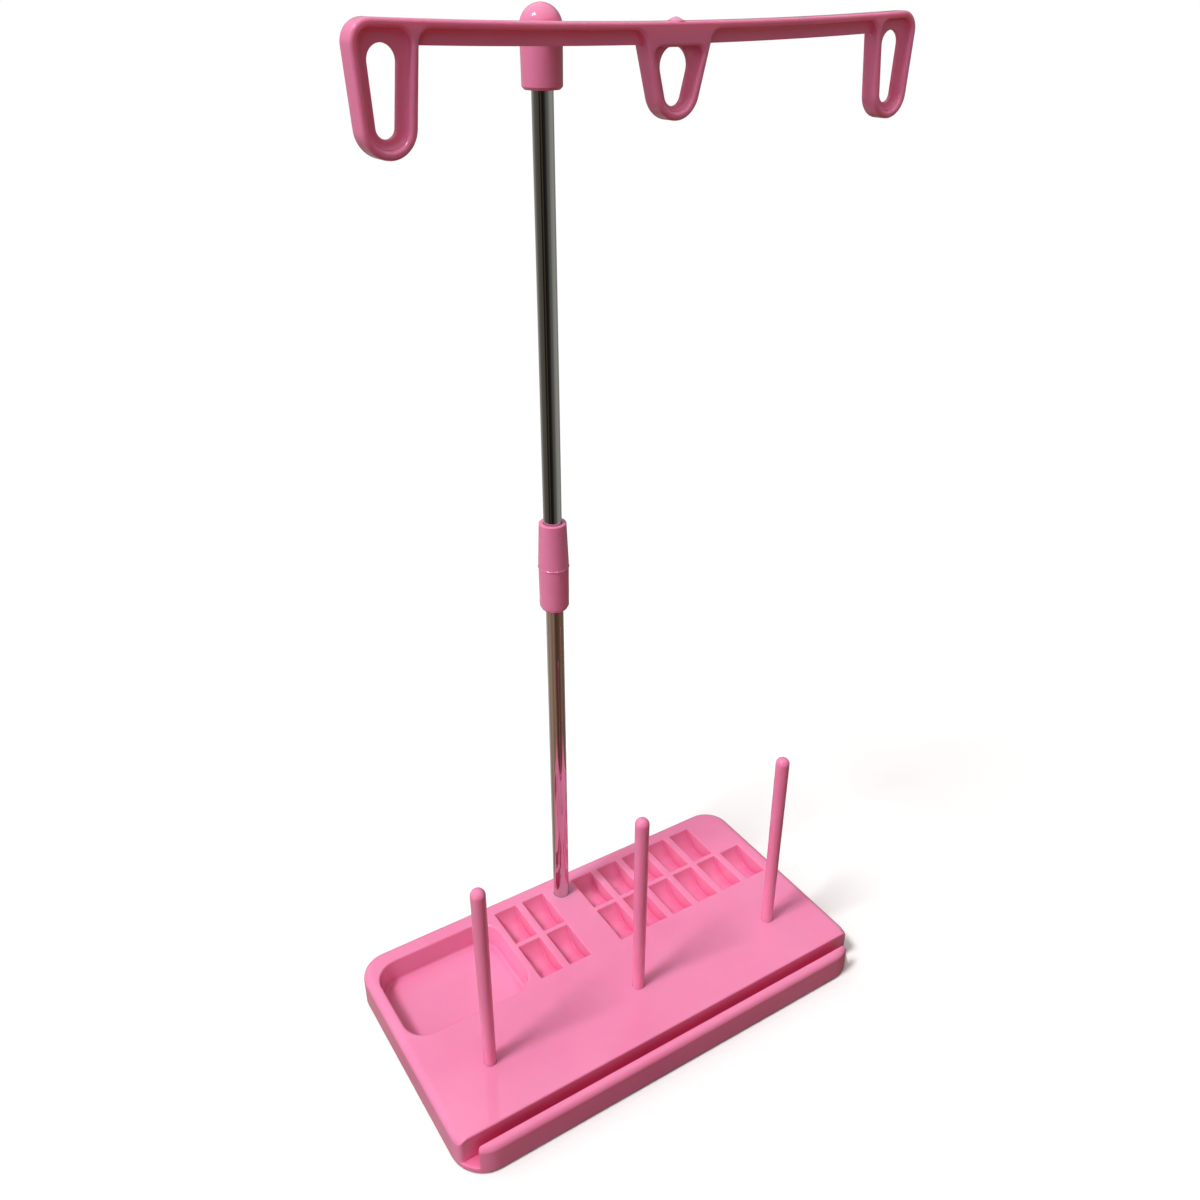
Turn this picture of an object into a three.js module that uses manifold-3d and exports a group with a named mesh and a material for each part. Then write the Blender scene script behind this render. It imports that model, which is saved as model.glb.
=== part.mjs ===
// Thread spool stand: a moulded base with bobbin cells, tray and front slot, three plug-in spool pins,
// a two-piece post with a joining sleeve, and a thread guide that turns on top of the post.
// Units are millimetres. +X is the stand's right, +Y its back, +Z up. The origin is the centre of the
// footprint, on the surface that the stand rests on.
import * as THREE from 'three';
import { mergeVertices } from 'three/addons/utils/BufferGeometryUtils.js';
import Module from 'manifold-3d';

const wasm = await Module();
wasm.setup();

// Base moulding
const baseLength = 225;
const baseDepth = 126;
const shellHeight = 17.4;
const frontCornerRadius = 16;
const backCornerRadius = 14;
const topEdgeRadius = 4;
const sideWall = 2.2;
const topPlate = 2.4;
const ribThickness = 1.6;
const ribBottomGap = 0.6;

// Anti-slip pads, stuck in round recesses
const padRadius = 5;
const padThickness = 2;
const padStandOff = 0.8;
const padEdgeChamfer = 0.3;
const padClearance = 0.3;
const padInset = 13.5;
const padBossWall = 1.6;

// Front slot and lip
const lipThickness = 4.3;
const lipDrop = 1.6;
const lipEdgeRadius = 3;
const lipEndInset = 7.2;
const lipEndRadius = 2.2;
const slotWidth = 4.8;
const slotDepth = 14.2;

// Bobbin cells, in two rows on both sides of the post; the back row ends one cell before the front row
const cellWidth = 12.5;
const cellLength = 23.7;
const cellDepth = 10;
const cellWallX = 4;
const cellWallY = 2.7;
const cellInsetBack = 8.7;
const cellInsetRight = 8.3;
const cellShell = 1.8;
const postGapHalf = 9.15;
const cellRows = 2;
const leftColumns = 2;
const backRowShortfall = 1;

// Accessory tray, between the left edge and the cells
const trayInsetLeft = 5.5;
const trayInsetBack = 9.6;
const trayCellWall = 3.4;
const trayWidth = 50.6;
const trayDepth = 12;
const trayCornerRadius = 12;
const trayDraft = 1.4;
const trayFloorRadius = 1.6;
const trayShell = 2;

// Spool pins: one in the middle of the base's length and one near each end
const pinInsetEnd = 31;
const pinInsetFront = 38.1;
const pinHeight = 105.5;
const pinFootRadius = 2.9;
const pinTipRadius = 3.3;
const pinSocketDepth = 12.2;
const pinSocketClearance = 0.15;
const pinEndChamfer = 0.4;
const pinBossWall = 2.2;

// Post
const postInsetBack = 13.4;
const tubeRadius = 4.1;
const tubeWall = 0.6;
const postSocketDepth = 13;
const postSocketClearance = 0.25;
const postBossWall = 2.2;
const lowerTubeExposed = 177.8;
const upperTubeExposed = 173.5;

// Coupler sleeve
const couplerLowerGrip = 20.2;
const couplerUpperGrip = 21;
const couplerStop = 1.8;
const couplerClearance = 0.3;
const couplerTopWall = 1.8;
const couplerBellyWall = 2.6;
const couplerShoulderWall = 2.35;
const couplerBottomWall = 1.45;
const couplerEndChamfer = 2.6;
const couplerRimRadius = 0.4;

// Thread guide: cap on the post
const capGrip = 16;
const capWall = 3.4;
const capDraft = 0.2;
const capChamfer = 1;
const capRoof = 4.2;
const capClearance = 0.3;
const capSeatGap = 0.3;

// Thread guide: crossbar and arm
const guideTurnDegrees = 3.65;
const guideReach = 77.75;
const guideHalfLength = 108.7;
const guideDepth = 7;
const guideRise = 7.2;
const guideBow = 2.35;
const flangeThickness = 2.5;
const webHeight = 6.4;
const webThickness = 1.6;
const rimWidth = 2.5;
const panelHalfWidth = 14;
const armTopDrop = 1.2;
const armPlate = 2.4;
const armHeight = 5.8;
const armHubHalfWidth = 5.5;
const armFlare = 28;
const armRibThickness = 3;
const nubHeight = 1.2;
const nubHalfWidth = 2.3;
const nubOffset = 0.65;

// Thread guide: end eyelets, measured in from the crossbar's end and down from its top edge
const endEyeletWidth = 20.6;
const endEyeletLean = 1.1;
const endEyeletDrop = 34.6;
const endEyeletBottomRadius = 8.4;
const endEyeletCorner = 6.3;
const endHoleTopRadius = 4.3;
const endHoleBottomRadius = 3;
const endHoleTopDrop = 10.3;
const endHoleBottomDrop = 26.35;
const endHoleTopInset = 9.9;
const endHoleBottomInset = 9.4;

// Thread guide: middle eyelet, measured down from the crossbar's top edge
const midEyeletHalfWidth = 12.7;
const midEyeletDrop = 27.9;
const midEyeletBottomRadius = 8.9;
const midHoleTopRadius = 5.6;
const midHoleBottomRadius = 3.5;
const midHoleTopDrop = 12.4;
const midHoleBottomDrop = 20.3;

// Facets
const roundSegments = 32;
const pinSegments = 24;
const cornerSegments = 7;
const edgeSegments = 4;
const domeSegments = 8;
const scoopSegments = 9;
const bowSegments = 22;
const eyeletSegments = 14;

// How far a cutting shape runs past the face that it opens
const overcut = 1;

// Levels and places worked out from the sizes above
const beyond = baseLength + baseDepth;
const shellBottom = padStandOff;
const baseTop = shellBottom + shellHeight;
const lipTop = baseTop - lipDrop;
const slotFloor = baseTop - slotDepth;
const leftFace = -baseLength / 2;
const rightFace = baseLength / 2;
const frontFace = -baseDepth / 2;
const backFace = baseDepth / 2;
const lipBack = frontFace + lipThickness;
const bodyFront = lipBack + slotWidth;
const postY = backFace - postInsetBack;
const pinRowY = frontFace + pinInsetFront;
const pinColumns = [leftFace + pinInsetEnd, 0, rightFace - pinInsetEnd];
const pinSocketRadius = pinFootRadius + pinSocketClearance;
const postSocketRadius = tubeRadius + postSocketClearance;
const postSocketFloor = baseTop - postSocketDepth;
const couplerBore = tubeRadius + couplerClearance;
const couplerBottom = baseTop + lowerTubeExposed;
const lowerTubeTop = couplerBottom + couplerLowerGrip;
const upperTubeBottom = lowerTubeTop + couplerStop;
const couplerTop = upperTubeBottom + couplerUpperGrip;
const capBore = tubeRadius + capClearance;
const capRadius = capBore + capWall;
const capBottom = couplerTop + upperTubeExposed;
const upperTubeTop = capBottom + capGrip;
const domeBase = upperTubeTop + capRoof;
const guideTop = upperTubeTop + guideRise;
const guideFront = -guideReach;
const guideBack = guideFront + guideDepth;
const guideMiddle = (guideFront + guideBack) / 2;
const cellPitchX = cellWidth + cellWallX;
const cellPitchY = cellLength + cellWallY;
const cellBackY = backFace - cellInsetBack;
const cellFrontY = cellBackY - (cellRows - 1) * cellPitchY - cellLength;
const leftCellsX = -postGapHalf - leftColumns * cellPitchX + cellWallX;
const rightColumns = Math.floor((rightFace - cellInsetRight - postGapHalf + cellWallX) / cellPitchX);
const trayLeft = leftFace + trayInsetLeft;
const trayRight = leftCellsX - trayCellWall;
const trayBack = backFace - trayInsetBack;

// Converts a closed three.js geometry to a solid for joining and cutting.
function solid(geometry) {
  const bare = geometry.clone();
  bare.deleteAttribute('normal');
  bare.deleteAttribute('uv');
  const merged = mergeVertices(bare, 1e-5);
  return new wasm.Manifold(new wasm.Mesh({
    numProp: 3,
    vertProperties: Float32Array.from(merged.attributes.position.array),
    triVerts: Uint32Array.from(merged.index.array),
  }));
}

// Converts a solid back to a three.js geometry.
function geometryOf(body) {
  const mesh = body.getMesh();
  const geometry = new THREE.BufferGeometry();
  geometry.setAttribute('position', new THREE.BufferAttribute(Float32Array.from(mesh.vertProperties), 3));
  geometry.setIndex(Array.from(mesh.triVerts));
  geometry.computeVertexNormals();
  return geometry;
}

function joined(bodies) {
  return bodies.reduce((sum, body) => sum.add(body));
}

function block(x0, x1, y0, y1, z0, z1) {
  const geometry = new THREE.BoxGeometry(x1 - x0, y1 - y0, z1 - z0);
  geometry.translate((x0 + x1) / 2, (y0 + y1) / 2, (z0 + z1) / 2);
  return solid(geometry);
}

// All the space between two levels.
function layer(z0, z1) {
  return block(-beyond, beyond, -beyond, beyond, z0, z1);
}

function rod(x, y, radius, z0, z1, segments = roundSegments) {
  const geometry = new THREE.CylinderGeometry(radius, radius, z1 - z0, segments);
  geometry.rotateX(Math.PI / 2);
  geometry.translate(x, y, (z0 + z1) / 2);
  return solid(geometry);
}

// Turns a profile of [radius, height] pairs about the Z axis.
function turned(profile, segments = roundSegments) {
  const points = profile.map(([radius, height]) => new THREE.Vector2(radius, height));
  const geometry = new THREE.LatheGeometry(points, segments);
  geometry.rotateX(Math.PI / 2);
  return solid(geometry);
}

// Points of an arc from one angle to another, in degrees, both ends included.
function arcPoints(x, y, radius, fromDegrees, toDegrees, steps) {
  const points = [];
  for (let i = 0; i <= steps; i++) {
    const angle = THREE.MathUtils.degToRad(fromDegrees + (toDegrees - fromDegrees) * i / steps);
    points.push(new THREE.Vector2(x + radius * Math.cos(angle), y + radius * Math.sin(angle)));
  }
  return points;
}

// The [radius, height] pairs of a quarter-round dome, up to its top on the axis.
function domeProfile(base, radius) {
  const quarter = arcPoints(0, base, radius, 0, 90, domeSegments).slice(0, -1);
  return [...quarter.map((point) => [point.x, point.y]), [0, base + radius]];
}

// A rectangle with rounded corners, seen from above; front and back corners have their own radius.
function roundedRectangle(x0, x1, y0, y1, frontRadius, backRadius) {
  return new THREE.Shape([
    ...arcPoints(x0 + frontRadius, y0 + frontRadius, frontRadius, 180, 270, cornerSegments),
    ...arcPoints(x1 - frontRadius, y0 + frontRadius, frontRadius, 270, 360, cornerSegments),
    ...arcPoints(x1 - backRadius, y1 - backRadius, backRadius, 0, 90, cornerSegments),
    ...arcPoints(x0 + backRadius, y1 - backRadius, backRadius, 90, 180, cornerSegments),
  ]);
}

function prism(shape, z0, z1) {
  const geometry = new THREE.ExtrudeGeometry(shape, { depth: z1 - z0, bevelEnabled: false });
  geometry.translate(0, 0, z0);
  return solid(geometry);
}

// A prism with a rounded edge at its top; the matching bevel at its bottom is cut away.
function roundedTopPrism(shape, z0, z1, radius) {
  const geometry = new THREE.ExtrudeGeometry(shape, {
    depth: z1 - radius - z0,
    bevelThickness: radius,
    bevelSize: radius,
    bevelOffset: -radius,
    bevelSegments: edgeSegments,
  });
  geometry.translate(0, 0, z0);
  return solid(geometry).subtract(layer(z0 - 2 * radius, z0));
}

// The base's outer form: the high body, the slot's floor, and the lower lip in front of the slot.
function baseEnvelope() {
  const outline = roundedRectangle(
    leftFace, rightFace, frontFace, backFace, frontCornerRadius, backCornerRadius);
  const tall = roundedTopPrism(outline, shellBottom, baseTop, topEdgeRadius);
  const low = roundedTopPrism(outline, shellBottom, lipTop, lipEdgeRadius);
  const body = tall.intersect(block(-beyond, beyond, bodyFront, beyond, 0, baseTop + overcut));
  const floor = low.intersect(layer(0, slotFloor));
  const lipArea = roundedRectangle(
    leftFace + lipEndInset, rightFace - lipEndInset, frontFace - 2 * lipEndRadius, lipBack,
    lipEndRadius, lipEndRadius);
  const lip = low.intersect(prism(lipArea, 0, baseTop));
  return joined([body, floor, lip]);
}

// The runs of cells in each row, left and right of the post, from the back row to the front row.
function cellRuns(row) {
  const rightCount = row === 0 ? rightColumns - backRowShortfall : rightColumns;
  return [
    { x: leftCellsX, count: leftColumns },
    { x: postGapHalf, count: rightCount },
  ];
}

// One bobbin cell: straight end walls, and a scooped floor that is an arc along the cell's length.
function cellSpace(x0, yBack) {
  const half = cellLength / 2;
  const radius = (half * half + cellDepth * cellDepth) / (2 * cellDepth);
  const rise = radius - cellDepth;
  const spread = THREE.MathUtils.radToDeg(Math.atan2(half, rise));
  const profile = new THREE.Shape([
    ...arcPoints(0, rise, radius, 270 - spread, 270 + spread, scoopSegments),
    new THREE.Vector2(half, overcut),
    new THREE.Vector2(-half, overcut),
  ]);
  const geometry = new THREE.ExtrudeGeometry(profile, { depth: cellWidth, bevelEnabled: false });
  geometry.rotateX(Math.PI / 2);
  geometry.rotateZ(Math.PI / 2);
  geometry.translate(x0, yBack - half, baseTop);
  return solid(geometry);
}

function allCells() {
  const cells = [];
  for (let row = 0; row < cellRows; row++) {
    for (const run of cellRuns(row)) {
      for (let column = 0; column < run.count; column++) {
        cells.push(cellSpace(run.x + column * cellPitchX, cellBackY - row * cellPitchY));
      }
    }
  }
  return joined(cells);
}

// The solid block that each run of cells is moulded in, as seen from below.
function cellSurround() {
  const blocks = [];
  for (let row = 0; row < cellRows; row++) {
    const yBack = cellBackY - row * cellPitchY;
    for (const run of cellRuns(row)) {
      const runEnd = run.x + run.count * cellPitchX - cellWallX;
      blocks.push(block(
        run.x - cellShell, runEnd + cellShell,
        yBack - cellLength - cellShell, yBack + cellShell,
        baseTop - cellDepth - cellShell, baseTop));
    }
  }
  return joined(blocks);
}

// The tray's space, which narrows towards its floor; with a margin it is the tub around that space.
function traySpace(margin) {
  const x0 = trayLeft - margin;
  const x1 = trayRight + margin;
  const y0 = trayBack - trayWidth - margin;
  const y1 = trayBack + margin;
  const radius = trayCornerRadius + margin;
  const floorZ = baseTop - trayDepth - margin;
  const geometry = new THREE.ExtrudeGeometry(roundedRectangle(x0, x1, y0, y1, radius, radius), {
    depth: baseTop + overcut - floorZ - trayFloorRadius,
    bevelThickness: trayFloorRadius,
    bevelSize: trayFloorRadius,
    bevelOffset: -trayFloorRadius,
    bevelSegments: edgeSegments,
  });
  geometry.translate(-(x0 + x1) / 2, -(y0 + y1) / 2, 0);
  const position = geometry.attributes.position;
  const wallHeight = trayDepth + margin - trayFloorRadius;
  for (let i = 0; i < position.count; i++) {
    const depthShare = 1 - THREE.MathUtils.clamp(position.getZ(i) / wallHeight, 0, 1);
    position.setX(i, position.getX(i) * (1 - 2 * trayDraft * depthShare / (x1 - x0)));
    position.setY(i, position.getY(i) * (1 - 2 * trayDraft * depthShare / (y1 - y0)));
  }
  geometry.translate((x0 + x1) / 2, (y0 + y1) / 2, floorZ + trayFloorRadius);
  return solid(geometry).subtract(layer(baseTop + overcut, baseTop + beyond));
}

function padCentres() {
  const right = rightFace - padInset;
  const back = backFace - padInset;
  return [
    ['foot_pad_front_left', -right, -back],
    ['foot_pad_front_right', right, -back],
    ['foot_pad_back_left', -right, back],
    ['foot_pad_back_right', right, back],
  ];
}

// Stiffening ribs under the top plate: across the base below the post and the middle pin, and along it
// below the pins and at the front of the cells.
function ribs() {
  const bottom = shellBottom + ribBottomGap;
  const half = ribThickness / 2;
  return joined([
    block(-half, half, -beyond, beyond, bottom, baseTop),
    ...[pinRowY, cellFrontY].map((y) => block(-beyond, beyond, y - half, y + half, bottom, baseTop)),
  ]);
}

// The open hollow under the base, with the tub, cell blocks, bosses and ribs left standing in it.
function underside() {
  const inner = roundedRectangle(
    leftFace + sideWall, rightFace - sideWall, bodyFront + sideWall, backFace - sideWall,
    sideWall, backCornerRadius - sideWall);
  const hollow = prism(inner, shellBottom - overcut, baseTop - topPlate);
  const standing = [traySpace(trayShell), cellSurround(), ribs()];
  standing.push(rod(0, postY, postSocketRadius + postBossWall, shellBottom, baseTop));
  for (const x of pinColumns) {
    standing.push(rod(x, pinRowY, pinSocketRadius + pinBossWall, shellBottom, baseTop));
  }
  for (const [, x, y] of padCentres()) {
    standing.push(rod(x, y, padRadius + padClearance + padBossWall, shellBottom, baseTop));
  }
  return hollow.subtract(joined(standing));
}

function baseShell() {
  const spaces = [underside(), traySpace(0), allCells()];
  spaces.push(rod(0, postY, postSocketRadius, postSocketFloor, baseTop + overcut));
  for (const x of pinColumns) {
    spaces.push(rod(x, pinRowY, pinSocketRadius, baseTop - pinSocketDepth, baseTop + overcut, pinSegments));
  }
  for (const [, x, y] of padCentres()) {
    spaces.push(rod(x, y, padRadius + padClearance, shellBottom - overcut, padThickness));
  }
  return baseEnvelope().subtract(joined(spaces));
}

function footPad() {
  return turned([
    [0, 0],
    [padRadius - padEdgeChamfer, 0],
    [padRadius, padEdgeChamfer],
    [padRadius, padThickness],
    [0, padThickness],
  ]);
}

// A plug-in pin: it stands on the floor of its socket and widens a little from the base up to its tip.
function spoolPin() {
  return turned([
    [0, -pinSocketDepth],
    [pinFootRadius - pinEndChamfer, -pinSocketDepth],
    [pinFootRadius, -pinSocketDepth + pinEndChamfer],
    [pinFootRadius, 0],
    ...domeProfile(pinHeight - pinTipRadius, pinTipRadius),
  ], pinSegments);
}

function tube(z0, z1) {
  const inner = tubeRadius - tubeWall;
  return turned([[inner, z0], [tubeRadius, z0], [tubeRadius, z1], [inner, z1], [inner, z0]]);
}

// The sleeve: a blind socket from each end, with a stop between the two tubes where it is widest.
function coupler() {
  const topRadius = couplerBore + couplerTopWall;
  return turned([
    [0, lowerTubeTop],
    [couplerBore, lowerTubeTop],
    [couplerBore, couplerBottom],
    [couplerBore + couplerBottomWall, couplerBottom],
    [couplerBore + couplerShoulderWall, couplerBottom + couplerEndChamfer],
    [couplerBore + couplerBellyWall, lowerTubeTop],
    [topRadius, couplerTop - couplerRimRadius],
    [topRadius - couplerRimRadius, couplerTop],
    [couplerBore, couplerTop],
    [couplerBore, upperTubeBottom],
    [0, upperTubeBottom],
  ]);
}

// Height of the crossbar's top edge, which bows up towards its ends.
function barTop(x) {
  return guideTop + guideBow * (x / guideHalfLength) ** 2;
}

// Points along the crossbar at a fixed distance below its top edge.
function barLine(x0, x1, below, steps = bowSegments) {
  return Array.from({ length: steps + 1 }, (_, i) => {
    const x = x0 + (x1 - x0) * i / steps;
    return new THREE.Vector2(x, barTop(x) - below);
  });
}

// Extrudes a front-view outline from one depth to another, both measured along Y.
function upright(points, y0, y1) {
  const geometry = new THREE.ExtrudeGeometry(new THREE.Shape(points), { depth: y1 - y0, bevelEnabled: false });
  geometry.rotateX(Math.PI / 2);
  geometry.translate(0, y1, 0);
  return solid(geometry);
}

function mirrored(points) {
  return points.map((point) => new THREE.Vector2(-point.x, point.y)).reverse();
}

// Two circles, one above the other, wrapped by their common tangents.
function teardrop(topX, topZ, topRadius, bottomX, bottomZ, bottomRadius) {
  const distance = Math.hypot(topX - bottomX, topZ - bottomZ);
  const tilt = -THREE.MathUtils.radToDeg(Math.atan2(topX - bottomX, topZ - bottomZ));
  const lean = THREE.MathUtils.radToDeg(Math.asin((topRadius - bottomRadius) / distance));
  return [
    ...arcPoints(topX, topZ, topRadius, tilt - lean, tilt + 180 + lean, eyeletSegments),
    ...arcPoints(bottomX, bottomZ, bottomRadius, tilt + 180 + lean, tilt + 360 - lean, eyeletSegments),
  ];
}

// Outline of the right-hand end eyelet, drawn in by an inset: its sides lean in towards a round bottom.
function endEyelet(inset) {
  const cornerX = guideHalfLength - endEyeletCorner;
  const innerX = guideHalfLength - endEyeletWidth + inset;
  const topZ = barTop(cornerX);
  const bottomX = guideHalfLength - endEyeletLean - endEyeletBottomRadius;
  const bottomZ = topZ - endEyeletDrop + endEyeletBottomRadius;
  const cornerRadius = endEyeletCorner - inset;
  const bottomRadius = endEyeletBottomRadius - inset;
  return [
    ...arcPoints(cornerX, topZ - endEyeletCorner, cornerRadius, 0, 90, cornerSegments),
    ...barLine(cornerX, innerX, inset, 2).slice(1),
    ...arcPoints(bottomX, bottomZ, bottomRadius, 180, 360, eyeletSegments),
  ];
}

function endHole() {
  const topZ = barTop(guideHalfLength - endEyeletCorner);
  return teardrop(
    guideHalfLength - endHoleTopInset, topZ - endHoleTopDrop, endHoleTopRadius,
    guideHalfLength - endHoleBottomInset, topZ - endHoleBottomDrop, endHoleBottomRadius);
}

// Outline of the middle eyelet, drawn in by an inset: a flat top, and sides that run to a round bottom.
function midEyelet(inset, topDrop) {
  const halfTop = midEyeletHalfWidth - inset;
  const topZ = guideTop - topDrop;
  const radius = midEyeletBottomRadius - inset;
  const bottomZ = guideTop - midEyeletDrop + midEyeletBottomRadius;
  const toCorner = Math.atan2(topZ - bottomZ, halfTop);
  const cornerDistance = Math.hypot(topZ - bottomZ, halfTop);
  const tangent = THREE.MathUtils.radToDeg(toCorner - Math.acos(radius / cornerDistance));
  return [
    new THREE.Vector2(halfTop, topZ),
    new THREE.Vector2(-halfTop, topZ),
    ...arcPoints(0, bottomZ, radius, 180 - tangent, 360 + tangent, eyeletSegments),
  ];
}

function midHole() {
  return teardrop(
    0, guideTop - midHoleTopDrop, midHoleTopRadius,
    0, guideTop - midHoleBottomDrop, midHoleBottomRadius);
}

// The crossbar: a flange along the top, a thin web below it at mid depth, and a full panel in the middle.
function crossbar() {
  const end = guideHalfLength - endEyeletCorner;
  const flangeMiddle = flangeThickness / 2;
  const flange = [...barLine(-end, end, flangeThickness), ...barLine(end, -end, 0)];
  const web = [...barLine(-end, end, webHeight), ...barLine(end, -end, flangeMiddle)];
  const panel = [
    ...barLine(-midEyeletHalfWidth, midEyeletHalfWidth, webHeight, 4),
    ...barLine(panelHalfWidth, -panelHalfWidth, flangeMiddle, 4),
  ];
  return joined([
    upright(flange, guideFront, guideBack),
    upright(web, guideMiddle - webThickness / 2, guideMiddle + webThickness / 2),
    upright(panel, guideFront, guideBack),
  ]);
}

// An eyelet: a rim all round, a thin web at mid depth, and a drop-shaped hole for the thread.
function eyelet(outer, inner, hole) {
  const webFront = guideMiddle - webThickness / 2;
  const webBack = guideMiddle + webThickness / 2;
  return upright(outer, guideFront, guideBack)
    .subtract(upright(inner, guideFront - overcut, webFront))
    .subtract(upright(inner, webBack, guideBack + overcut))
    .subtract(upright(hole, guideFront - overcut, guideBack + overcut));
}

// The arm from the cap to the crossbar: a plate that widens towards the crossbar, with a rib under it.
function arm() {
  const top = guideTop - armTopDrop;
  const hubY = -capRadius / 2;
  const joinY = guideBack - overcut;
  const side = new THREE.QuadraticBezierCurve(
    new THREE.Vector2(panelHalfWidth, joinY),
    new THREE.Vector2(armHubHalfWidth, joinY + armFlare),
    new THREE.Vector2(armHubHalfWidth, hubY)).getPoints(eyeletSegments);
  const plate = prism(new THREE.Shape([...side, ...mirrored(side)]), top - armPlate, top);
  const half = armRibThickness / 2;
  return plate.add(block(-half, half, joinY, hubY, top - armHeight, top - armPlate / 2));
}

// The domed cap, before its socket is cut.
function cap() {
  const bottomRadius = capRadius - capDraft;
  return turned([
    [0, capBottom],
    [bottomRadius - capChamfer, capBottom],
    [bottomRadius, capBottom + capChamfer],
    ...domeProfile(domeBase, capRadius),
  ]);
}

// The low mound left by the mould's gate, on top of the crossbar.
function gateNub() {
  const radius = (nubHalfWidth ** 2 + nubHeight ** 2) / (2 * nubHeight);
  const geometry = new THREE.SphereGeometry(radius, pinSegments / 2, domeSegments);
  geometry.rotateX(Math.PI / 2);
  geometry.translate(nubOffset, guideMiddle, guideTop + nubHeight - radius);
  return solid(geometry);
}

// The whole guide in one moulding, with the blind socket that turns on the upper tube.
function threadGuide() {
  const endOuter = endEyelet(0);
  const endInner = endEyelet(rimWidth);
  const midInner = midEyelet(rimWidth, webHeight + rimWidth / 4);
  return joined([
    crossbar(),
    eyelet(endOuter, endInner, endHole()),
    eyelet(mirrored(endOuter), mirrored(endInner), mirrored(endHole())),
    eyelet(midEyelet(0, webHeight), midInner, midHole()),
    arm(),
    cap(),
    gateNub(),
  ]).subtract(rod(0, 0, capBore, capBottom - overcut, upperTubeTop + capSeatGap));
}

const pinkPlastic = { color: 0xf28cb2, roughness: 0.28, metalness: 0 };
const chrome = { color: 0xc9ccd0, roughness: 0.12, metalness: 1 };
const padRubber = { color: 0x2b2b2d, roughness: 0.9, metalness: 0 };

function part(name, body, finish) {
  const mesh = new THREE.Mesh(geometryOf(body), new THREE.MeshStandardMaterial(finish));
  mesh.name = name;
  return mesh;
}

const stand = new THREE.Group();
stand.add(part('base_shell', baseShell(), pinkPlastic));

for (const [name, x, y] of padCentres()) {
  const pad = part(name, footPad(), padRubber);
  pad.position.set(x, y, 0);
  stand.add(pad);
}

const pinNames = ['spool_pin_left', 'spool_pin_center', 'spool_pin_right'];
pinNames.forEach((name, i) => {
  const pin = part(name, spoolPin(), pinkPlastic);
  pin.position.set(pinColumns[i], pinRowY, baseTop);
  stand.add(pin);
});

const post = new THREE.Group();
post.position.set(0, postY, 0);
post.add(part('lower_tube', tube(postSocketFloor, lowerTubeTop), chrome));
post.add(part('tube_coupler', coupler(), pinkPlastic));
post.add(part('upper_tube', tube(upperTubeBottom, upperTubeTop), chrome));

const guide = new THREE.Group();
guide.rotation.z = THREE.MathUtils.degToRad(guideTurnDegrees);
guide.add(part('thread_guide', threadGuide(), pinkPlastic));
post.add(guide);
stand.add(post);

export default stand;
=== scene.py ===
# Looks of the thread spool stand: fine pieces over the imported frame, their materials, light and camera.
# Pieces are built in millimetres, in the part's own frame, and finish_piece turns them to metres.
# Angles are in degrees, except inside a formula.
import math

import bmesh
import bpy
from mathutils import Matrix, Vector


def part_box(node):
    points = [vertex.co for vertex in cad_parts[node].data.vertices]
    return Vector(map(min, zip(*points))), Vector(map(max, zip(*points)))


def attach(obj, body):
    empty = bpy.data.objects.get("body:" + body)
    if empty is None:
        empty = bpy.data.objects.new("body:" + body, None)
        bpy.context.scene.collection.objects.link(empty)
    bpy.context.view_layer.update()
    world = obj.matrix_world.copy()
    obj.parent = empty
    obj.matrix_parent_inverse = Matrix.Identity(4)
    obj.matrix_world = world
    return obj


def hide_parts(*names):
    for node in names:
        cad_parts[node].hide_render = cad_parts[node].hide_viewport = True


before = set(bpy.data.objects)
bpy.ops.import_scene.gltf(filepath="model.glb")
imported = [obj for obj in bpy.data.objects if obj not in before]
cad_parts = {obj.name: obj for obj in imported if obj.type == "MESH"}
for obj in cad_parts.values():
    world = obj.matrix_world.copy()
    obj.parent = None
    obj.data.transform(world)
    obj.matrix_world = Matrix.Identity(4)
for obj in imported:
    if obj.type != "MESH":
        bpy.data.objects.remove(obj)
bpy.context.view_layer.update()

MM = 0.001


def node_box(node):
    low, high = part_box(node)
    return low / MM, high / MM


def round_node(node):
    """Place, radius and ends of a node that is round about an upright axis."""
    low, high = node_box(node)
    return {
        "node": node,
        "x": (low.x + high.x) / 2,
        "y": (low.y + high.y) / 2,
        "radius": (high.x - low.x) / 2,
        "bottom": low.z,
        "top": high.z}


# Base moulding: its outer size comes from the frame
(LEFT, FRONT, SHELL_BOTTOM), (RIGHT, BACK, BASE_TOP) = node_box("base_shell")
FRONT_CORNER = 16
BACK_CORNER = 14
TOP_EDGE = 4
BOTTOM_EDGE = 0.3
SIDE_WALL = 2.2
TOP_PLATE = 2.4
RIB = 1.6
RIB_BOTTOM_GAP = 0.6

# Front slot, and the lip in front of it, which is lower and shorter than the base behind
LIP_THICKNESS = 4.3
LIP_DROP = 1.6
LIP_EDGE = 3
LIP_BACK_EDGE = 0.5
LIP_END_INSET = 7.2
LIP_END_RADIUS = 2.2
LIP_END_EDGE = 2.4
SLOT_WIDTH = 4.8
SLOT_DEPTH = 14.2
SLOT_EDGE = 0.7
SLOT_FLOOR_EDGE = 0.4
SLOT_END_ROUND = 2.5

# Bobbin cells in two rows; the columns right of the post are counted for the back row first
CELL_WIDTH = 12.5
CELL_LENGTH = 23.7
CELL_DEPTH = 10
CELL_WALL_X = 4
CELL_WALL_Y = 2.7
CELL_INSET_BACK = 8.7
CELL_FILLET = 0.5
CELL_EDGE = 0.4
CELL_SHELL = 1.8
POST_GAP_HALF = 9.15
LEFT_COLUMNS = 2
RIGHT_COLUMNS = (5, 6)

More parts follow.
